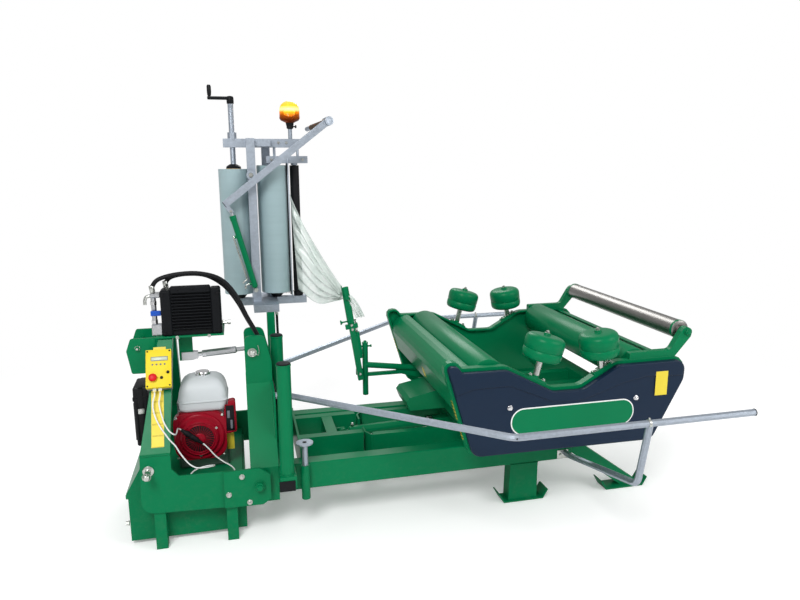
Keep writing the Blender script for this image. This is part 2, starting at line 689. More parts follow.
def make_headstock():
    inner_half = HEAD_HALF_FOOT - HEAD_WALL
    head = box("headstock", (0.010, -inner_half - 0.010, 0.225),
               (HEAD_DEPTH - 0.010, inner_half + 0.010, 0.345))
    members = [rod("top pin", (TOP_PIN_X, -HEAD_HALF_TOP - 0.022, TOP_PIN_Z),
                   (TOP_PIN_X, HEAD_HALF_TOP + 0.022, TOP_PIN_Z),
                   TOP_PIN_RADIUS)]
    for name, side in SIDES:
        outer = [(HEAD_HALF_FOOT, HEAD_BOTTOM), (HEAD_HALF_FOOT, HEAD_KNEE),
                 (HEAD_HALF_TOP - 0.001, HEAD_SHOULDER)]
        inner = [(HEAD_HALF_TOP - 0.030, HEAD_SHOULDER), (HEAD_HALF_TOP - 0.030, HEAD_SHOULDER - 0.050),
                 (inner_half, HEAD_KNEE - 0.020), (inner_half, HEAD_BOTTOM)]
        outline = [(side * y, z) for y, z in outer + inner]
        members.append(prism("headstock leg " + name, outline, "X", 0.0, HEAD_DEPTH))
        low, high = sorted((side * HEAD_HALF_TOP, side * (HEAD_HALF_TOP - CHEEK_WALL)))
        members.append(prism("cheek " + name, rounded([
            (0.001, HEAD_SHOULDER - 0.040, 0), (0.001, HEAD_TOP, 0.028), (0.105, HEAD_TOP, 0.035),
            (HEAD_DEPTH - 0.001, HEAD_SHOULDER + 0.110, 0.030),
            (HEAD_DEPTH - 0.001, HEAD_SHOULDER - 0.040, 0)]),
            "Y", low, high))
        root_y = side * (HEAD_HALF_TOP - 0.010)
        gusset_y = side * (GUARD_START_Y + 0.026)
        members.append(prism("guard gusset " + name, [
            (root_y, HEAD_SHOULDER + 0.002), (gusset_y, 0.7215), (gusset_y, 0.420),
            (root_y, HEAD_SHOULDER - 0.060)],
            "X", HEAD_DEPTH - 0.008, HEAD_DEPTH + 0.002))
    members.append(box("top tie", (0.004, -HEAD_HALF_TOP + 0.010, HEAD_SHOULDER - 0.030),
                       (0.095, HEAD_HALF_TOP - 0.010, HEAD_SHOULDER - 0.012)))
    welded(head, *members)
    finish(head, "green paint")

    inner_y = BEAM_OUTER_Y - BEAM_WIDTH
    bar_x = HEAD_DEPTH + SEAT
    bar_low = POST_BASE_Z - POST_BAR_HEIGHT
    near = box("roll_post_near", (bar_x, -POST_STUB_END, bar_low),
               (bar_x + POST_BAR_WIDTH, -BEAM_OUTER_Y - SEAT, POST_BASE_Z))
    far = box("roll_post_far", (bar_x, -inner_y + SEAT, bar_low),
              (bar_x + POST_BAR_WIDTH, inner_y - SEAT, POST_BASE_Z))
    block = box("valve block", (0.150, -0.075, POST_BASE_Z - 0.010), (0.210, 0.022, VALVE_TOP))
    for base, y, extra in ((near, POST_NEAR_Y, []), (far, POST_FAR_Y, [block])):
        post = turned("post " + base.name, [
            (0.0, -0.010), (POST_RADIUS, -0.010), (POST_RADIUS, POST_HEIGHT - 0.008),
            (POST_RADIUS + 0.002, POST_HEIGHT - 0.008), (POST_RADIUS + 0.002, POST_HEIGHT - 0.002),
            (POST_RADIUS - 0.002, POST_HEIGHT), (0.0, POST_HEIGHT)], (POST_X, y, POST_BASE_Z), (0, 0, 1),
            20)
        welded(base, post, *extra)
        finish(base, "green paint")


def stand_sleeve():
    """Bored sleeve on the near beam's outer face."""
    height = STAND_SLEEVE_TOP - STAND_SLEEVE_BOTTOM
    inner = STAND_ROD_RADIUS + BORE_RUN
    return turned("stand sleeve", [(inner, 0.0), (STAND_SLEEVE_RADIUS, 0.0), (STAND_SLEEVE_RADIUS, height),
                                   (inner, height), (inner, 0.0)],
                  (STAND_X, STAND_Y, STAND_SLEEVE_BOTTOM), (0, 0, 1), 16)


def make_stand():
    rod_bottom = STAND_SLEEVE_BOTTOM + 0.010
    length = STAND_TOP - rod_bottom
    stand = turned("parking_stand", [
        (0.0, 0.0), (STAND_ROD_RADIUS, 0.0), (STAND_ROD_RADIUS, length - 0.006),
        (STAND_DISC_RADIUS, length - 0.006), (STAND_DISC_RADIUS, length), (0.0, length)],
        (STAND_X, STAND_Y, rod_bottom), (0, 0, 1), 20)
    finish(stand, "galvanised steel", "parking_stand")


def make_guards():
    start_x = HEAD_DEPTH + 0.002 + SEAT
    for name, side in SIDES:
        rail = as_mesh(tube("guard_rail_" + name, bent_route([
            (start_x, side * GUARD_START_Y, GUARD_START_Z), (start_x + 0.045, side * GUARD_START_Y,
                    GUARD_START_Z),
            (GUARD_BEND_X, side * GUARD_Y, GUARD_Z), (GUARD_REAR, side * GUARD_Y, GUARD_Z)], 0.030),
            GUARD_RADIUS))
        stay = as_mesh(tube("guard stay " + name, bent_route([
            (STAY_FOOT_X, side * (BEAM_OUTER_Y + SEAT), STAY_FOOT_Z),
            (STAY_FOOT_X, side * (BEAM_OUTER_Y + 0.040), STAY_FOOT_Z),
            (STAY_KNEE_X, side * GUARD_Y, STAY_KNEE_Z), (STAY_TOP_X, side * GUARD_Y, GUARD_Z - 0.002)],
            0.035),
            GUARD_RADIUS * 0.97))
        welded(rail, stay)
        finish(rail, "galvanised steel")


# Power pack

def make_pack_side(name, side):
    """Side plate, sloped column, hitch plate and both legs of one side, one fabrication."""
    plate_inner = PACK_OUTER_Y - PACK_PLATE
    foot_x = PACK_FRONT + 0.012
    low, high = sorted((side * PACK_OUTER_Y, side * plate_inner))
    outline = rounded([
        (PACK_FRONT, PACK_BOTTOM + 0.008, 0.060), (foot_x, PACK_FOLD + 0.006, 0.0),
        (foot_x + PACK_COLUMN_FOOT, PACK_FOLD + 0.006, 0.0), (foot_x + PACK_COLUMN_FOOT, 0.420, 0.010),
        (-0.340, PACK_SILL, 0.010), (PACK_REAR, PACK_SILL - 0.003, 0.0),
        (PACK_REAR, PACK_BOTTOM - 0.006, 0.0)], 4)
    plate = prism("pack_side_" + name, outline, "Y", low, high)

    hitch_low, hitch_high = sorted((side * (PACK_OUTER_Y - 0.003), side * (PACK_OUTER_Y + HITCH_PLATE)))
    hitch = prism("hitch plate " + name, rounded([
        (-0.132, 0.188, 0), (-0.130, 0.379, 0), (0.045, 0.380, 0), (HITCH_PLATE_REAR, 0.345, 0),
        (HITCH_PLATE_REAR, 0.214, 0), (0.056, 0.185, 0)]), "Y", hitch_low, hitch_high)
    pin = rod("hitch pin " + name, (HITCH_PIN_X, side * (HEAD_HALF_FOOT + SEAT), HITCH_PIN_Z),
              (HITCH_PIN_X, side * (PACK_OUTER_Y + HITCH_PLATE + 0.030), HITCH_PIN_Z), 0.015)
    link_pin = rod("lower link pin " + name, (LINK_PIN_X, side * (plate_inner + 0.002), LINK_PIN_Z),
                   (LINK_PIN_X, side * (PACK_OUTER_Y + 0.085), LINK_PIN_Z), 0.014)

    shape = bmesh.new()
    bottom = [(foot_x, PACK_OUTER_Y), (foot_x + PACK_COLUMN_FOOT, PACK_OUTER_Y),
              (foot_x + PACK_COLUMN_FOOT, PACK_OUTER_Y - PACK_COLUMN_DEPTH),
              (foot_x, PACK_OUTER_Y - PACK_COLUMN_DEPTH)]
    top = [(PACK_COLUMN_TOP_X, PACK_COLUMN_TOP_Y), (PACK_COLUMN_TOP_X + PACK_COLUMN_TOP, PACK_COLUMN_TOP_Y),
           (PACK_COLUMN_TOP_X + PACK_COLUMN_TOP, PACK_COLUMN_TOP_Y - PACK_COLUMN_DEPTH),
           (PACK_COLUMN_TOP_X, PACK_COLUMN_TOP_Y - PACK_COLUMN_DEPTH)]
    rings = [[shape.verts.new((x, side * y, z)) for x, y in ring]
             for ring, z in ((bottom, PACK_FOLD), (top, PACK_TOP))]
    shape.faces.new(rings[0])
    shape.faces.new(list(reversed(rings[1])))
    for index in range(4):
        onward = (index + 1) % 4
        shape.faces.new((rings[0][index], rings[1][index], rings[1][onward], rings[0][onward]))
    column = from_bmesh("pack column " + name, shape)

    legs = []
    leg_low, leg_high = sorted((side * (plate_inner + 0.004), side * (plate_inner - PACK_LEG)))
    for place, x in (("front", PACK_LEG_FRONT_X), ("rear", PACK_LEG_REAR_X - 0.036)):
        legs.append(box("pack leg " + place + name, (x - PACK_LEG / 2, leg_low, 0.0),
                        (x + PACK_LEG / 2, leg_high, TANK_TOP - 0.006 - SEAT)))
    welded(plate, column, hitch, pin, link_pin, *legs)
    finish(plate, "green paint")


def make_pack_frame():
    for name, side in SIDES:
        make_pack_side(name, side)
    tray_half = PACK_OUTER_Y - PACK_PLATE - SEAT
    tank = prism("oil_tank", [
        (TANK_FRONT + 0.010, TANK_BOTTOM), (TANK_REAR, TANK_BOTTOM), (TANK_REAR, TANK_TOP),
        (-0.505, TANK_TOP),
        (-0.505, TANK_COVER_TOP), (-0.531, TANK_COVER_TOP), (TANK_FRONT, TANK_TOP + 0.006),
        (TANK_FRONT, TANK_TOP - 0.014), (TANK_FRONT + 0.010, TANK_TOP - 0.014)],
        "Y", -TANK_HALF_WIDTH, TANK_HALF_WIDTH)
    tray = box("engine tray", (-0.510, -tray_half, TANK_TOP - 0.006),
               (TANK_REAR - 0.010, tray_half, TRAY_TOP))
    welded(tank, tray)
    finish(tank, "green paint")

    head = box("pack_head", (PACK_COLUMN_TOP_X - 0.010, -0.112, PACK_TOP + SEAT),
               (-0.098, 0.112, PACK_TOP + 0.009))
    cheeks = []
    for name, side in SIDES:
        low, high = sorted((side * 0.111, side * 0.101))
        cheeks.append(prism("pack cheek " + name, rounded([
            (-0.579, 0.942, 0.010), (-0.556, PACK_TOP + 0.008, 0.012), (-0.390, PACK_TOP + 0.008, 0),
            (-0.390, PACK_TOP + SEAT * 2, 0), (-0.438, PACK_TOP + SEAT * 2, 0), (-0.445, 0.820, 0.0),
            (-0.560, 0.822, 0.010)]), "Y", low, high))
    cheeks.append(rod("pack head bolt", (-0.525, -0.122, 0.954), (-0.525, 0.122, 0.954), 0.012))
    cheeks.append(box("top link lug", (-0.335, -0.0065, 0.845), (-0.265, 0.0065, PACK_TOP + 0.004)))
    welded(head, *cheeks)
    finish(head, "green paint")

    link_end = Vector((TOP_PIN_X, 0.0, TOP_PIN_Z))
    link_start = Vector((-0.300, 0.0, 0.870))
    along = (link_end - link_start).normalized()
    reach = (link_end - link_start).length
    link = turned("top_link", [
        (0.0, 0.042), (0.012, 0.042), (0.012, 0.080), (0.019, 0.082), (0.019, 0.255), (0.012, 0.262),
        (0.012, reach - 0.018), (0.0, reach - 0.018)], link_start, along, 12)
    eye_bore = TOP_PIN_RADIUS + BORE_RUN
    eye = turned("head eye", [(eye_bore, -0.015), (0.028, -0.015), (0.028, 0.015), (eye_bore, 0.015),
                              (eye_bore, -0.015)], link_end, (0, 1, 0), 16)
    forks = [box("link fork " + name, (-0.322, side * 0.0128 - 0.006, 0.850),
                 (-0.254, side * 0.0128 + 0.006, 0.892))
             for name, side in SIDES]
    bridge = box("link bridge", (-0.263, -0.0180, 0.853), (-0.240, 0.0180, 0.891))
    welded(link, eye, bridge, *forks)
    finish(link, "bright steel")


def make_engine():
    floor = TRAY_TOP + SEAT
    block = box("engine_block", (-0.365, -0.110, floor), (-0.105, 0.190, 0.560), 0.012)
    cylinder = box("cylinder head", (-0.330, 0.020, 0.540), (-0.150, 0.170, 0.596), 0.006)
    finish(welded(block, cylinder), "cast aluminium")

    cowl = prism("engine_cowl", rounded([
        (-0.377, 0.345, 0.075), (-0.377, 0.601, 0.050), (-0.112, 0.601, 0.060), (-0.112, 0.345, 0.075)], 4),
        "Y", COWL_FRONT_Y + 0.014, -0.110 - SEAT)
    disc = turned("recoil cover", [(0.0, 0.0), (0.092, 0.0), (0.104, 0.016), (0.104, 0.030), (0.0, 0.030)],
                  (-0.247, COWL_FRONT_Y - 0.010, COWL_CENTRE_Z), (0, 1, 0), 28)
    panel = prism("air cleaner", rounded([
        (-0.120, 0.470, 0.0), (-0.120, 0.600, 0.0), (-0.098, 0.600, 0.0), (-0.098, 0.650, 0.010),
        (-0.060, 0.655, 0.012), (-0.058, 0.480, 0.012)]), "Y", COWL_FRONT_Y + 0.020, -0.110 - SEAT)
    finish(welded(cowl, disc, panel), "red paint")

    tank_low = [(-0.347, 0.6013, 0.02), (-0.340, 0.655, 0.01), (-0.330, 0.660, 0.0), (-0.308, 0.768, 0.03),
                (-0.132, 0.776, 0.03), (-0.112, 0.662, 0.0), (-0.100, 0.657, 0.01), (-0.104, 0.6013, 0.02)]
    tank = prism("fuel_tank", rounded(tank_low), "Y", -0.150, 0.080)
    cap = turned("fuel cap", [(0.0, -0.010), (0.036, -0.010), (0.036, 0.012), (0.030, 0.022), (0.0, 0.024)],
                 (-0.222, -0.045, 0.770), (0, 0, 1), 20)
    finish(welded(tank, cap), "white paint")


def make_cooler():
    bottom = PACK_TOP + 0.009 + SEAT
    top = COOLER_TOP
    back = COOLER_NEAR_Y + COOLER_DEPTH
    pitch = (top - bottom - 0.050) / COOLER_FINS
    comb = [(back, bottom), (back, top), (COOLER_NEAR_Y + 0.012, top)]
    for fin in range(COOLER_FINS):
        high = top - 0.025 - fin * pitch
        comb += [(COOLER_NEAR_Y + 0.012, high), (COOLER_NEAR_Y, high - 0.002),
                 (COOLER_NEAR_Y, high - pitch * 0.45), (COOLER_NEAR_Y + 0.012, high - pitch * 0.45 - 0.002)]
    comb.append((COOLER_NEAR_Y + 0.012, bottom))
    core = prism("oil_cooler", comb, "X", COOLER_FRONT + 0.052, COOLER_REAR - 0.050)
    tanks = [box("cooler tank front", (COOLER_FRONT, COOLER_NEAR_Y, bottom),
                 (COOLER_FRONT + 0.054, back, top), 0.008),
             box("cooler tank rear", (COOLER_REAR - 0.052, COOLER_NEAR_Y, bottom),
                 (COOLER_REAR, back, top), 0.008),
             box("cooler top rail", (COOLER_FRONT + 0.050, COOLER_NEAR_Y - 0.004, top - 0.020),
                 (COOLER_REAR - 0.048, COOLER_NEAR_Y + 0.030, top + 0.018), 0.006)]
    welded(core, *tanks)
    finish(core, "black paint")

    block = box("return_manifold", (-0.452, -0.085, bottom), (COOLER_FRONT - SEAT, -0.045, bottom + 0.060),
                0.004)
    riser = rod("riser", (-0.436, -0.065, bottom + 0.030), (-0.436, -0.065, top - 0.024), 0.013)
    handle = bar("valve handle", (-0.450, -0.088, 1.120), (-0.402, -0.088, 1.132), 0.014, 0.008)
    stem = rod("valve stem", (-0.436, -0.065, 1.124), (-0.436, -0.092, 1.124), 0.007, 10)
    elbow = box("port block", (-0.450, -0.0885, top - 0.040), (COOLER_FRONT - SEAT, -0.030, top - 0.018),
                0.004)
    welded(block, riser, stem, handle, elbow)
    finish(block, "bright steel")


def make_controls():
    slope = Vector((0, -(PACK_TOP - PACK_FOLD), PACK_OUTER_Y - PACK_COLUMN_TOP_Y)).normalized()
    share = (CONTROL_Z - PACK_FOLD) / (PACK_TOP - PACK_FOLD)
    face_y = PACK_OUTER_Y - share * (PACK_OUTER_Y - PACK_COLUMN_TOP_Y)
    face = Vector((CONTROL_X, -face_y, CONTROL_Z))
    start = face + slope * (SEAT + 0.0002)
    case = bar("control_box", start, start + slope * 0.058, CONTROL_WIDTH, CONTROL_HEIGHT,
               (0, PACK_OUTER_Y - PACK_COLUMN_TOP_Y, PACK_TOP - PACK_FOLD))
    glands = []
    for name, _, route in CABLES[:2]:
        gland_end = Vector(route[0])
        run = (Vector(route[1]) - gland_end).normalized()
        glands.append(rod("gland " + name, gland_end - run * GLAND_LENGTH,
                          gland_end - run * CABLE_GAP, 0.008))
    welded(case, *glands)
    finish(case, "yellow plastic")
    battery = prism("battery_box", rounded([
        (-0.583, 0.500, 0.010), (-0.583, 0.725, 0.012), (-0.500, 0.725, 0.012),
        (-0.506, TANK_COVER_TOP + SEAT, 0), (-0.529, TANK_COVER_TOP + SEAT, 0), (-0.545, 0.450, 0.0)]),
        "Y", -0.040, 0.140)
    finish(battery, "black plastic")


# Film dispenser

def make_dispenser():
    beam_top = BEAM_BOTTOM + BEAM_HEIGHT
    bore = 0.012 + BORE_RUN
    base_top = BASE_RAIL_Z + BASE_RAIL_HEIGHT
    column = box("dispenser_column", (HEAD_DEPTH + SEAT, 0.322, beam_top + SEAT),
                 (0.186, 0.372, BASE_RAIL_Z + 0.001 - SEAT), 0.003)
    finish(column, "green paint")

    half = 0.022
    post_half = MAST_WIDTH / 2
    rail_half = 0.022
    mast_top = TOP_BEAM_Z + TOP_BEAM_HEIGHT
    base = box("dispenser_mast", (DISPENSER_FRONT + 0.040, DISPENSER_Y - rail_half, BASE_RAIL_Z),
               (DISPENSER_REAR, DISPENSER_Y + rail_half, base_top))
    members = [
        box("base arm", (MAST_X - post_half, 0.322, BASE_RAIL_Z + 0.001),
            (0.215, BACK_MAST_Y + post_half, base_top - 0.001)),
        box("front mast", (MAST_X - post_half + 0.001, MAST_Y - post_half, base_top - 0.012),
            (MAST_X + post_half, MAST_Y + post_half, mast_top)),
        rod("lever pin", (LEVER_PIVOT_X, LEVER_Y - 0.016, LEVER_PIVOT_Z),
            (LEVER_PIVOT_X, MAST_Y, LEVER_PIVOT_Z), 0.0115),
        rod("barrel pin", (LEVER_BASE_X, LEVER_Y - 0.018, LEVER_BASE_Z),
            (LEVER_BASE_X, MAST_Y, LEVER_BASE_Z), 0.008)]
    for label, x in (("supply", ROLL_X), ("band", BAND_ROLL_X), ("rubber", RUBBER_ROLL_X)):
        members.append(turned("spigot " + label, [
            (0.0, BASE_RAIL_Z + 0.020), (0.020, BASE_RAIL_Z + 0.020), (0.020, ROLL_BOTTOM - BORE_RUN),
            (0.012, ROLL_BOTTOM - BORE_RUN), (0.012, ROLL_BOTTOM + 0.030), (0.0, ROLL_BOTTOM + 0.030)],
            (x, DISPENSER_Y, 0.0), (0, 0, 1), 12))
    welded(base, *members)
    finish(base, "galvanised steel")

    bracket_z = BAND_ROLL_TOP + 0.012
    beam = box("dispenser_beam", (DISPENSER_FRONT, DISPENSER_Y - rail_half, TOP_BEAM_Z),
               (DISPENSER_REAR - 0.010, DISPENSER_Y + rail_half, mast_top))
    members = [
        box("beam bridge", (MAST_X - post_half, MAST_Y + post_half + SEAT, TOP_BEAM_Z + 0.004),
            (BACK_MAST_X + post_half - 0.002, BACK_MAST_Y - post_half + 0.006, mast_top - 0.004)),
        box("back mast", (BACK_MAST_X - post_half, BACK_MAST_Y - post_half, base_top + SEAT),
            (BACK_MAST_X + post_half, BACK_MAST_Y + post_half, mast_top - 0.002)),
        rod("spindle nut", (ROLL_X, DISPENSER_Y, mast_top - 0.010),
            (ROLL_X, DISPENSER_Y, mast_top + 0.036), 0.026, 6),
        box("band bracket", (0.185, DISPENSER_Y - 0.045, bracket_z),
            (0.430, DISPENSER_Y + 0.040, bracket_z + 0.042))]
    for label, x in (("band", BAND_ROLL_X), ("rubber", RUBBER_ROLL_X)):
        members.append(turned("top stub " + label, [
            (0.0, BAND_ROLL_TOP - 0.030), (0.012, BAND_ROLL_TOP - 0.030), (0.012, BAND_ROLL_TOP + BORE_RUN),
            (0.020, BAND_ROLL_TOP + BORE_RUN), (0.020, bracket_z + 0.012), (0.0, bracket_z + 0.012)],
            (x, DISPENSER_Y, 0.0), (0, 0, 1), 12))
    for label, x in (("left", 0.236), ("right", 0.375)):
        members.append(rod("hanger " + label, (x, DISPENSER_Y, bracket_z + 0.030),
                           (x, DISPENSER_Y, TOP_BEAM_Z + 0.010), 0.008))
    welded(beam, *members)
    cut(beam, rod("spindle bore", (ROLL_X, DISPENSER_Y, TOP_BEAM_Z - 0.050),
                  (ROLL_X, DISPENSER_Y, mast_top + 0.100),
                  SPINDLE_RADIUS + SEAT, 16))
    finish(beam, "galvanised steel")

    shaft = turned("crank_spindle", [
        (0.0, -0.040), (0.033, -0.040), (0.0362, -0.006), (0.0362, BORE_RUN), (0.040, BORE_RUN),
        (0.040, 0.014),
        (SPINDLE_RADIUS, 0.030), (SPINDLE_RADIUS, CRANK_Z - ROLL_TOP), (0.0, CRANK_Z - ROLL_TOP)],
        (ROLL_X, DISPENSER_Y, ROLL_TOP), (0, 0, 1), 16)
    arm = bar("crank arm", (ROLL_X + 0.014, DISPENSER_Y, CRANK_Z - 0.004),
              (ROLL_X - CRANK_ARM - 0.010, DISPENSER_Y, CRANK_Z - 0.004),
              0.016, 0.024)
    grip = rod("crank grip", (ROLL_X - CRANK_ARM, DISPENSER_Y, CRANK_Z - 0.004),
               (ROLL_X - CRANK_ARM, DISPENSER_Y, CRANK_Z + CRANK_HANDLE), 0.011)
    welded(shaft, arm, grip)
    finish(shaft, "galvanised steel")

    roll = turned("supply_roll", [
        (0.0, 0.035), (bore, 0.035), (bore, 0.0), (ROLL_RADIUS, 0.0), (ROLL_RADIUS, ROLL_HEIGHT),
        (0.037, ROLL_HEIGHT), (0.037, ROLL_HEIGHT - 0.050), (0.0, ROLL_HEIGHT - 0.050)],
        (ROLL_X, DISPENSER_Y, ROLL_BOTTOM), (0, 0, 1), 28)
    finish(roll, "film", "supply_roll")

    height = BAND_ROLL_TOP - ROLL_BOTTOM
    for name, x, radius, look, steps in (("band_roll", BAND_ROLL_X, ROLL_RADIUS + 0.002, "film", 28),
                                         ("rubber_roll", RUBBER_ROLL_X, RUBBER_ROLL_RADIUS, "black rubber",
                                          16)):
        roll = turned(name, [
            (0.0, 0.035), (bore, 0.035), (bore, 0.0), (radius, 0.0), (radius, height), (bore, height),
            (bore, height - 0.035), (0.0, height - 0.035)], (x, DISPENSER_Y, ROLL_BOTTOM), (0, 0, 1), steps)
        finish(roll, look, name)

    stem = turned("beacon", [
        (0.0, SEAT), (0.012, SEAT), (0.012, 0.060), (0.020, 0.062), (0.022, 0.085),
        (0.040, BEACON_FOOT - mast_top),
        (BEACON_RADIUS - 0.002, BEACON_FOOT - mast_top + 0.012),
        (BEACON_RADIUS, BEACON_FOOT - mast_top + 0.022),
        (BEACON_RADIUS - 0.002, BEACON_FOOT - mast_top + 0.070),
        (BEACON_RADIUS * 0.86, BEACON_FOOT - mast_top + 0.098),
        (BEACON_RADIUS * 0.55, BEACON_FOOT - mast_top + 0.117),
        (0.0, BEACON_FOOT - mast_top + BEACON_HEIGHT)],
        (BEACON_X, DISPENSER_Y, mast_top), (0, 0, 1), 20)
    finish(stem, "amber lens")


def make_lever():
    angle = math.radians(LEVER_ANGLE)
    along = Vector((math.cos(angle), 0, math.sin(angle)))
    across = Vector((-math.sin(angle), 0, math.cos(angle)))
    pivot = Vector((LEVER_PIVOT_X, LEVER_Y, LEVER_PIVOT_Z))
    centre = pivot - across * LEVER_DROP
    lever = bar("lever", centre - along * LEVER_TAIL, centre + along * LEVER_REACH, LEVER_TUBE, LEVER_TUBE)
    lug = rod("pivot lug", pivot + Vector((0, -0.011, 0)), pivot + Vector((0, 0.011, 0)), 0.026, 16)
    web = bar("pivot web", pivot, pivot - across * 0.030, 0.044, 0.022)
    eye = Vector((LEVER_EYE_X, LEVER_Y, LEVER_EYE_Z))
    forks = []
    for name, side in SIDES:
        shift = Vector((0, side * 0.0145, 0))
        forks.append(bar("lever fork " + name, eye + shift - across * 0.012, eye + shift + across * 0.045,
                         0.026, 0.007))
    tip = centre + along * LEVER_REACH
    back = Vector((-0.090, LEVER_CROSS_BAR, -0.030))
    cap = rod("tip cap", tip - back.normalized() * 0.028, tip + back.normalized() * 0.026, 0.026, 16)
    cross = rod("cross bar", tip, tip + back, 0.014, 12)
    welded(lever, lug, web, cap, cross, *forks)
    cut(lever, rod("lever bore", pivot + Vector((0, -0.030, 0)), pivot + Vector((0, 0.030, 0)),
                   0.0115 + BORE_RUN, 16))
    finish(lever, "galvanised steel", "lever")


def make_cylinder(prefix, base, eye, y, barrel_radius, rod_radius, pin_radius, eye_radius, stroke, looks):
    """A hydraulic cylinder between its base pin and its rod's eye, closed at rest."""
    base = Vector((base[0], y, base[1]))
    eye = Vector((eye[0], y, eye[1]))
    along = (eye - base).normalized()
    length = (eye - base).length
    mouth = length - eye_radius * 2.2
    foot = eye_radius * 1.3
    inner = rod_radius + BORE_RUN
    bottom = mouth - stroke - barrel_radius * 2.4
    barrel = turned(prefix + "_barrel", [
        (0.0, eye_radius * 0.8), (eye_radius * 0.55, eye_radius * 0.8), (eye_radius * 0.55, foot),
        (barrel_radius * 0.8, foot), (barrel_radius, foot + 0.006), (barrel_radius, mouth - 0.030),
        (barrel_radius * 1.12, mouth - 0.028), (barrel_radius * 1.12, mouth), (inner, mouth),
        (inner, bottom), (0.0, bottom)], base, along, 16)
    eye_half = barrel_radius * 0.62
    ring = turned(prefix + " base eye", [
        (pin_radius + BORE_RUN, -eye_half), (eye_radius, -eye_half), (eye_radius, eye_half),
        (pin_radius + BORE_RUN, eye_half), (pin_radius + BORE_RUN, -eye_half)], base, (0, 1, 0), 16)
    finish(welded(barrel, ring), looks[0], prefix + "_barrel")
    rod_body = turned(prefix + "_rod", [
        (0.0, bottom + 0.004), (rod_radius, bottom + 0.004), (rod_radius, length - eye_radius * 0.5),
        (0.0, length - eye_radius * 0.5)], base, along, 16)
    half = eye_radius * 0.55
    end = turned(prefix + " rod eye", [
        (pin_radius, -half), (eye_radius, -half), (eye_radius, half), (pin_radius, half),
        (pin_radius, -half)],
        eye, (0, 1, 0), 16)
    welded(rod_body, end)
    finish(rod_body, looks[1], prefix + "_rod")
    return barrel


def cylinder_travel(base, eye, pivot, degrees):
    """Stroke and barrel swing, in degrees, when the eye turns clockwise about the pivot by degrees."""
    swing = math.radians(degrees)
    arm = Vector(eye) - Vector(pivot)
    moved = Vector((arm.x * math.cos(swing) + arm.y * math.sin(swing),
                    -arm.x * math.sin(swing) + arm.y * math.cos(swing))) + Vector(pivot)
    first = Vector(eye) - Vector(base)
    last = moved - Vector(base)
    turn = math.atan2(last.y, last.x) - math.atan2(first.y, first.x)
    return last.length - first.length, -math.degrees(turn)


LEVER_CYLINDER = ((LEVER_BASE_X, LEVER_BASE_Z), (LEVER_EYE_X, LEVER_EYE_Z), (LEVER_PIVOT_X, LEVER_PIVOT_Z))
TIP_CYLINDER = ((TIP_CYLINDER_X, TIP_CYLINDER_Z), (TIP_EYE_X, TIP_EYE_Z), (TIP_HINGE_X, TIP_HINGE_Z))


def make_cylinders():
    stroke = cylinder_travel(*LEVER_CYLINDER, LEVER_TRAVEL)[0]
    make_cylinder("lever", LEVER_CYLINDER[0], LEVER_CYLINDER[1], LEVER_Y, LEVER_BARREL_RADIUS,
                  LEVER_ROD_RADIUS,
                  0.008, 0.0125, stroke, ("green paint", "bright steel"))
    stroke = cylinder_travel(*TIP_CYLINDER, TIP_TRAVEL)[0]
    make_cylinder("tip", TIP_CYLINDER[0], TIP_CYLINDER[1], 0.0, TIP_BARREL_RADIUS, TIP_ROD_RADIUS,
                  0.010, 0.025, stroke, ("green paint", "bright steel"))


# Tipping frame and turntable

def make_tip_frame():
    bottom = LADDER_TOP - LADDER_RAIL_HEIGHT
    plate = box("tip_frame", (1.410, -TIP_OUTER_Y + 0.002, TIP_TOP - 0.010),
                (1.765, TIP_OUTER_Y - 0.002, TIP_TOP - 0.001))
    ring_top = HUB_BOTTOM - SEAT
    parts = [turned("slew ring", [(0.0, TIP_TOP - 0.008), (HUB_RADIUS - 0.020, TIP_TOP - 0.008),
                                  (HUB_RADIUS - 0.020, ring_top), (0.0, ring_top)], (TABLE_X, 0.0, 0.0),
                                  (0, 0, 1), 24)]
    for name, side in SIDES:
        low, high = sorted((side * TIP_OUTER_Y, side * (TIP_OUTER_Y - TIP_WALL)))
        parts.append(box("tip channel " + name, (TIP_NOSE_X + 0.040, low, bottom),
                         (TIP_HINGE_X + 0.028, high, TIP_TOP)))
        nose = [(0.052, TIP_OUTER_Y - 0.001), (0.030, TIP_OUTER_Y - 0.001), (0.0, TIP_OUTER_Y - 0.058),
                (0.0, 0.062),
                (0.010, 0.062), (0.010, TIP_OUTER_Y - 0.062), (0.035, TIP_OUTER_Y - 0.012),
                (0.052, TIP_OUTER_Y - 0.012)]
        parts.append(prism("tip nose " + name, [(TIP_NOSE_X + x, side * y) for x, y in nose], "Z",
                           bottom + 0.001, TIP_TOP - 0.001))
        parts.append(rod("tip hinge pin " + name, (TIP_HINGE_X, side * (TIP_OUTER_Y - 0.010), TIP_HINGE_Z),
                         (TIP_HINGE_X, side * (TIP_OUTER_Y + RUN + 0.026), TIP_HINGE_Z), HINGE_PIN_RADIUS))
        low, high = sorted((side * 0.024, side * 0.036))
        parts.append(box("tip eye lug " + name, (TIP_EYE_X - 0.026, low, TIP_EYE_Z - 0.026),
                         (1.180, high, TIP_EYE_Z + 0.024)))
    parts.append(box("tip front tube", (1.165, -TIP_OUTER_Y + 0.010, bottom + 0.020),
                     (1.235, TIP_OUTER_Y - 0.010, TIP_TOP - 0.004)))
    parts.append(box("tip rear tube", (1.690, -TIP_OUTER_Y + 0.010, bottom + 0.020),
                     (1.760, TIP_OUTER_Y - 0.010, TIP_TOP - 0.005)))
    welded(plate, *parts)
    finish(plate, "green paint", "tip_frame")


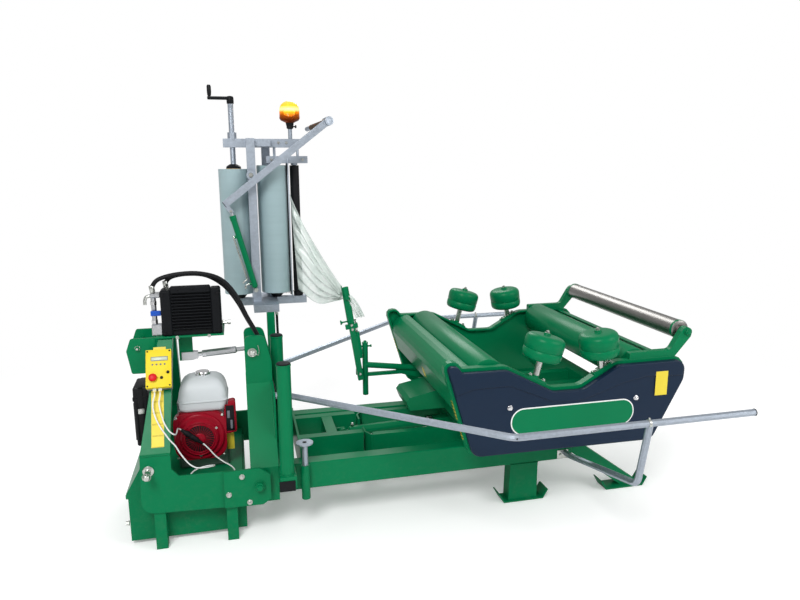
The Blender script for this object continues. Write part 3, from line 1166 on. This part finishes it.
def make_table():
    web_y = TABLE_HALF_LENGTH - COVER_DEPTH - SEAT - END_PLATE_WALL - SEAT
    inner_x = TABLE_BEAM_OFFSET
    outer_x = TABLE_BEAM_OFFSET + TABLE_BEAM_WIDTH
    carrier = turned("table_carrier", [(0.0, 0.0), (HUB_RADIUS, 0.0), (HUB_RADIUS, HUB_HEIGHT),
                                       (0.0, HUB_HEIGHT)],
                     (TABLE_X, 0.0, HUB_BOTTOM), (0, 0, 1), 24)
    bars = []
    for name, side in SIDES:
        low, high = sorted((side * 0.080, side * 0.136))
        bars.append(box("hub bar " + name, (TABLE_X - inner_x - 0.005, low, HUB_BOTTOM + 0.040),
                        (TABLE_X + inner_x + 0.005, high, TABLE_BEAM_TOP - 0.020)))
    for name, side in (("left", -1), ("right", 1)):
        low, high = sorted((TABLE_X + side * inner_x, TABLE_X + side * outer_x))
        bars.append(box("table beam " + name, (low, -web_y, TABLE_BEAM_BOTTOM),
                        (high, web_y, TABLE_BEAM_TOP)))
    beam_face = TABLE_X - outer_x
    bars.append(prism("carrier wing", [
        (0.905, TABLE_BEAM_BOTTOM + 0.002), (0.885, 0.530), (0.905, 0.555),
        (beam_face + 0.006, TABLE_BEAM_TOP - 0.002),
        (beam_face + 0.006, TABLE_BEAM_BOTTOM + 0.002)], "Y", -0.090, 0.170))
    welded(carrier, *bars, *clamp_bracket(beam_face))
    finish(carrier, "green paint", "table")

    for name, side in SIDES:
        outer = side * TABLE_HALF_LENGTH
        inner = side * (TABLE_HALF_LENGTH - COVER_DEPTH)
        cover = prism("cover_" + name, [(TABLE_X + p[0], p[1]) for p in rounded(COVER_CORNERS, 4)], "Y",
                      outer, inner)
        edge = cover.modifiers.new("moulded edge", "BEVEL")
        edge.width = 0.010
        edge.segments = 2
        edge.limit_method = "ANGLE"
        edge.angle_limit = math.radians(50)
        finish(cover, "navy plastic", "table")

        plate_outer = side * (TABLE_HALF_LENGTH - COVER_DEPTH - SEAT)
        plate_inner = side * (TABLE_HALF_LENGTH - COVER_DEPTH - SEAT - END_PLATE_DEPTH)
        web = side * (TABLE_HALF_LENGTH - COVER_DEPTH - SEAT - END_PLATE_WALL)
        rim = rounded(grown(COVER_CORNERS, END_PLATE_RIM), 3)
        pocket = rounded(grown(COVER_CORNERS, END_PLATE_RIM - 0.012), 3)
        plate = prism("end_plate_" + name, [(TABLE_X + p[0], p[1]) for p in rim], "Y", plate_outer,
                      plate_inner)
        cut(plate, prism("pan " + name, [(TABLE_X + p[0], p[1]) for p in pocket], "Y", web,
                         plate_inner - side * 0.020))
        for place, shift in (("left", -1), ("right", 1)):
            boss = turned("bearing " + name + " " + place, [
                (0.0202 + BORE_RUN, 0.0), (0.034, 0.0), (0.034, 0.026), (0.0202 + BORE_RUN, 0.026),
                (0.0202 + BORE_RUN, 0.0)],
                (TABLE_X + shift * TABLE_ROLLER_OFFSET, web + side * 0.002, TABLE_ROLLER_Z), (0, -side, 0),
                16)
            welded(plate, boss)
        welded(plate, *drum_posts(name, side), support_arm(name, side))
        support_bore = rod("support bore " + name,
                           (SUPPORT_X, side * (SUPPORT_ARM_Y - SUPPORT_ARM_HALF * 3), SUPPORT_Z),
                           (SUPPORT_X, side * (SUPPORT_ARM_Y + SUPPORT_ARM_HALF * 3), SUPPORT_Z),
                           SUPPORT_SHAFT + BORE_RUN, 16)
        cut(plate, support_bore)
        finish(plate, "green paint", "table")

    gap = TABLE_HALF_LENGTH - COVER_DEPTH - SEAT - END_PLATE_DEPTH
    for place, shift in (("left", -1), ("right", 1)):
        axle = web_y - 0.002
        roller = turned("roller_" + place, [
            (0.0, -axle), (0.0202, -axle), (0.0202, -gap + 0.010),
            (TABLE_ROLLER_RADIUS - 0.006, -gap + 0.010),
            (TABLE_ROLLER_RADIUS, -gap + 0.016), (TABLE_ROLLER_RADIUS, gap - 0.016),
            (TABLE_ROLLER_RADIUS - 0.006, gap - 0.010), (0.0202, gap - 0.010), (0.0202, axle), (0.0, axle)],
            (TABLE_X + shift * TABLE_ROLLER_OFFSET, 0.0, TABLE_ROLLER_Z), (0, 1, 0), 28)
        finish(roller, "green paint", "roller_" + place)

    for place, shift, centre_x, centre_z, lower in (("left", -1, 0.530, 0.785, (0.590, 0.660)),
                                                    ("right", 1, 0.570, 0.762, (0.628, 0.660))):
        outer_arc = []
        inner_arc = []
        for step in range(7):
            swing = math.radians(180 - 90 * step / 6)
            outer_arc.append((centre_x - APRON_RADIUS * math.cos(swing),
                              centre_z + APRON_RADIUS * math.sin(swing)))
            inner_arc.append((centre_x - (APRON_RADIUS - APRON_WALL) * math.cos(swing),
                              centre_z + (APRON_RADIUS - APRON_WALL) * math.sin(swing)))
        outline = [lower] + outer_arc + [(centre_x - 0.012, centre_z + APRON_RADIUS)]
        outline += [(centre_x - 0.012, centre_z + APRON_RADIUS - APRON_WALL)] + list(reversed(inner_arc))
        outline += [(lower[0] - APRON_WALL, lower[1])]
        apron = prism("apron_" + place, [(TABLE_X + shift * u, v) for u, v in outline], "Y", -gap + SEAT,
                      gap - SEAT)
        finish(apron, "green paint", "table")


def flank_height(offset):
    """Height of the end plates' rim on the V flanks at a distance from the turntable's axis."""
    left_high, left_low = COVER_CORNERS[3], COVER_CORNERS[4]
    right_low, right_high = COVER_CORNERS[5], COVER_CORNERS[6]
    first, second = (left_high, left_low) if offset < 0 else (right_low, right_high)
    share = (offset - first[0]) / (second[0] - first[0])
    slope = (second[1] - first[1]) / (second[0] - first[0])
    return first[1] + share * (second[1] - first[1]) + END_PLATE_RIM * math.hypot(1.0, slope)


def drum_axis(side, foot_x, foot_z, hub_x, hub_z):
    """Foot, unit axis and the drum's lower face on a leaning drum's centre line."""
    foot = Vector((foot_x, side * DRUM_Y, foot_z))
    hub = Vector((hub_x, side * DRUM_Y, hub_z))
    along = (hub - foot).normalized()
    return foot, along, hub - along * DRUM_HEIGHT


def drum_posts(name, side):
    """Foot plate, shaft and collar of both drums of one end plate."""
    pieces = []
    for place, places in (("left", DRUM_LEFT), ("right", DRUM_RIGHT)):
        foot, along, start = drum_axis(side, *places)
        label = name + " " + place
        low_x, high_x = foot.x - 0.048, foot.x + 0.048
        heights = [flank_height(x - TABLE_X) for x in (low_x, high_x)]
        outline = [(low_x, heights[0] - 0.008), (high_x, heights[1] - 0.008),
                   (high_x, heights[1] + 0.010), (low_x, heights[0] + 0.010)]
        low, high = sorted((side * (DRUM_Y - 0.018), side * (DRUM_Y + 0.018)))
        pieces.append(prism("drum foot " + label, outline, "Y", low, high))
        seat_z = flank_height(foot.x - TABLE_X)
        shaft_foot = foot + along * ((seat_z - foot.z) / along.z)
        pieces.append(rod("drum shaft " + label, shaft_foot, start + along * 0.085, DRUM_SHAFT_RADIUS, 12))
        pieces.append(rod("drum collar " + label, shaft_foot, start - along * BORE_RUN, 0.016, 12))
    return pieces


def make_drums():
    bore = DRUM_SHAFT_RADIUS + BORE_RUN
    rim = DRUM_RADIUS
    profile = [
        (0.0, 0.090), (bore, 0.090), (bore, 0.0), (rim - 0.030, 0.0), (rim - 0.010, 0.006), (rim, 0.022),
        (rim, 0.050), (rim - DRUM_GROOVE, 0.053), (rim, 0.056), (rim + 0.001, DRUM_HEIGHT - 0.030),
        (rim - 0.006, DRUM_HEIGHT - 0.012), (rim - 0.024, DRUM_HEIGHT - 0.001), (0.018, DRUM_HEIGHT),
        (0.018, DRUM_HEIGHT + 0.012), (0.0, DRUM_HEIGHT + 0.012)]
    for name, side in SIDES:
        for place, places in (("left", DRUM_LEFT), ("right", DRUM_RIGHT)):
            start = drum_axis(side, *places)[2]
            along = drum_axis(side, *places)[1]
            owner = "drum_" + name + "_" + place
            finish(turned(owner, profile, start, along, 24), "green paint", owner)


def support_arm(name, side):
    """Arm from the end plate's rim out to the support roller."""
    bottom = COVER_CORNERS[7][1] + END_PLATE_RIM - 0.006
    top = bottom + 0.040
    foot_x = DRUM_RIGHT[0] + DRUM_RADIUS + SUPPORT_ARM_GAP
    low, high = sorted((side * (SUPPORT_ARM_Y - SUPPORT_ARM_HALF),
                        side * (SUPPORT_ARM_Y + SUPPORT_ARM_HALF)))
    return prism("support arm " + name, rounded([
        (foot_x, bottom, 0), (foot_x, top, 0.008), (SUPPORT_X - 0.090, top, 0.030),
        (SUPPORT_X - 0.032, SUPPORT_Z + 0.006, 0.020), (SUPPORT_X - 0.006, SUPPORT_Z + 0.034, 0.020),
        (SUPPORT_X + 0.034, SUPPORT_Z + 0.012, 0.022), (SUPPORT_X + 0.026, SUPPORT_Z - 0.024, 0.012),
        (SUPPORT_X - 0.066, bottom, 0.020)]), "Y", low, high)


def make_support_roller():
    half = SUPPORT_ARM_Y - SUPPORT_ARM_HALF - RUN
    end = SUPPORT_ARM_Y + 0.030
    roller = turned("support_roller", [
        (0.0, -end), (SUPPORT_SHAFT, -end), (SUPPORT_SHAFT, -half), (0.030, -half), (0.030, -half + 0.020),
        (SUPPORT_RADIUS, -half + 0.024), (SUPPORT_RADIUS, half - 0.024), (0.030, half - 0.020),
        (0.030, half),
        (SUPPORT_SHAFT, half), (SUPPORT_SHAFT, end), (0.0, end)], (SUPPORT_X, 0.0, SUPPORT_Z), (0, 1, 0),
        24)
    finish(roller, "bright steel", "support_roller")


def clamp_bracket(beam_face):
    """Tube, gusset, strap, post and hinge pin that carry the film clamp on the table's beam."""
    low, high = CLAMP_Y - CLAMP_LUG, CLAMP_Y + CLAMP_LUG
    arm_face = CLAMP_ARM_Y + CLAMP_ARM_DEPTH / 2
    return [
        rod("clamp tube", (CLAMP_POST_X, CLAMP_Y, CLAMP_TUBE_Z), (beam_face + 0.050, CLAMP_Y, 0.590),
            0.019),
        prism("clamp gusset", [(0.880, 0.632), (beam_face + 0.004, 0.596), (beam_face + 0.004, 0.530),
                               (0.955, 0.575)], "Y", low, high),
        box("lower strap", (CLAMP_POST_X, low - 0.003, 0.578), (0.960, high + 0.003, 0.600)),
        rod("clamp post", (CLAMP_POST_X, CLAMP_Y, CLAMP_POST_BOTTOM),
            (CLAMP_POST_X, CLAMP_Y, CLAMP_POST_TOP), 0.018),
        box("clamp lug", (CLAMP_PIVOT_X - 0.018, low, CLAMP_PIVOT_Z - 0.018),
            (CLAMP_POST_X, high, CLAMP_PIVOT_Z + 0.018)),
        rod("clamp spacer", (CLAMP_PIVOT_X, arm_face + RUN, CLAMP_PIVOT_Z),
            (CLAMP_PIVOT_X, CLAMP_Y, CLAMP_PIVOT_Z), 0.015),
        rod("clamp pin", (CLAMP_PIVOT_X, CLAMP_ARM_Y - 0.018, CLAMP_PIVOT_Z),
            (CLAMP_PIVOT_X, CLAMP_Y + 0.020, CLAMP_PIVOT_Z), 0.008)]


def make_film_clamp():
    base = Vector((CLAMP_PIVOT_X, CLAMP_ARM_Y, CLAMP_PIVOT_Z))
    tip = Vector((CLAMP_TIP_X, CLAMP_ARM_Y, CLAMP_TIP_Z))
    along = (tip - base).normalized()
    arm = bar("film_clamp", base - along * 0.040, base + along * 0.320, 0.034, CLAMP_ARM_DEPTH)
    jaw = bar("clamp jaw", base + along * 0.300, tip, 0.040, 0.010)
    stop = bar("clamp stop", base + along * 0.290, base + along * 0.318, 0.075, 0.020)
    ram = rod("clamp ram", base + along * 0.100 + Vector((0.020, 0, 0)),
              base + along * 0.240 + Vector((0.020, 0, 0)), 0.014)
    welded(arm, jaw, stop, ram)
    cut(arm, rod("clamp bore", base + Vector((0, -0.030, 0)), base + Vector((0, 0.030, 0)),
                 0.008 + BORE_RUN, 16))
    finish(arm, "green paint", "film_clamp")


def upright_ends(points):
    """A hose leaves and ends square to a level face, so its first and last few millimetres are upright."""
    straight = 0.004
    first = points[0] + Vector((0.0, 0.0, math.copysign(straight, points[1].z - points[0].z)))
    last = points[-1] + Vector((0.0, 0.0, math.copysign(straight, points[-2].z - points[-1].z)))
    middle = [point for point in points[1:-1]
              if (point - first).length > straight and (point - last).length > straight]
    return [points[0], first] + middle + [last, points[-1]]


def make_hoses():
    for name, radius, route in HOSES:
        finish(tube(name, upright_ends(smooth_route(route, 5)), radius, 2), "black rubber")


def make_cables():
    """Control and starter cables with the plug that joins two of them before the engine."""
    plug = rod("engine_plug", PLUG_START, PLUG_END, PLUG_RADIUS, 14)
    finish(plug, "black plastic")
    for name, radius, route in CABLES:
        finish(tube(name, smooth_route(route, 5), radius, 2), "white cable")


def make_film():
    """Stretch film between the dispenser and the clamp, one thick sheet."""
    shape = bmesh.new()
    across = Vector((0.0026, 0.0015, 0.0))
    rings = []
    for x, y, bottom, top in FILM_EDGES:
        rings.append([shape.verts.new(Vector((x, y, z)) + across * sign)
                      for sign, z in ((-1, bottom), (1, bottom), (1, top), (-1, top))])
    shape.faces.new(rings[0])
    shape.faces.new(list(reversed(rings[1])))
    for index in range(4):
        onward = (index + 1) % 4
        shape.faces.new((rings[0][index], rings[1][index], rings[1][onward], rings[0][onward]))
    finish(from_bmesh("film_web", shape), "clear film")


def main():
    clear_scene()
    make_anchors()
    make_chassis()
    make_headstock()
    make_stand()
    make_guards()
    make_pack_frame()
    make_engine()
    make_cooler()
    make_controls()
    make_dispenser()
    make_lever()
    make_cylinders()
    make_tip_frame()
    make_table()
    make_drums()
    make_support_roller()
    make_film_clamp()
    make_film()
    make_hoses()
    make_cables()


main()
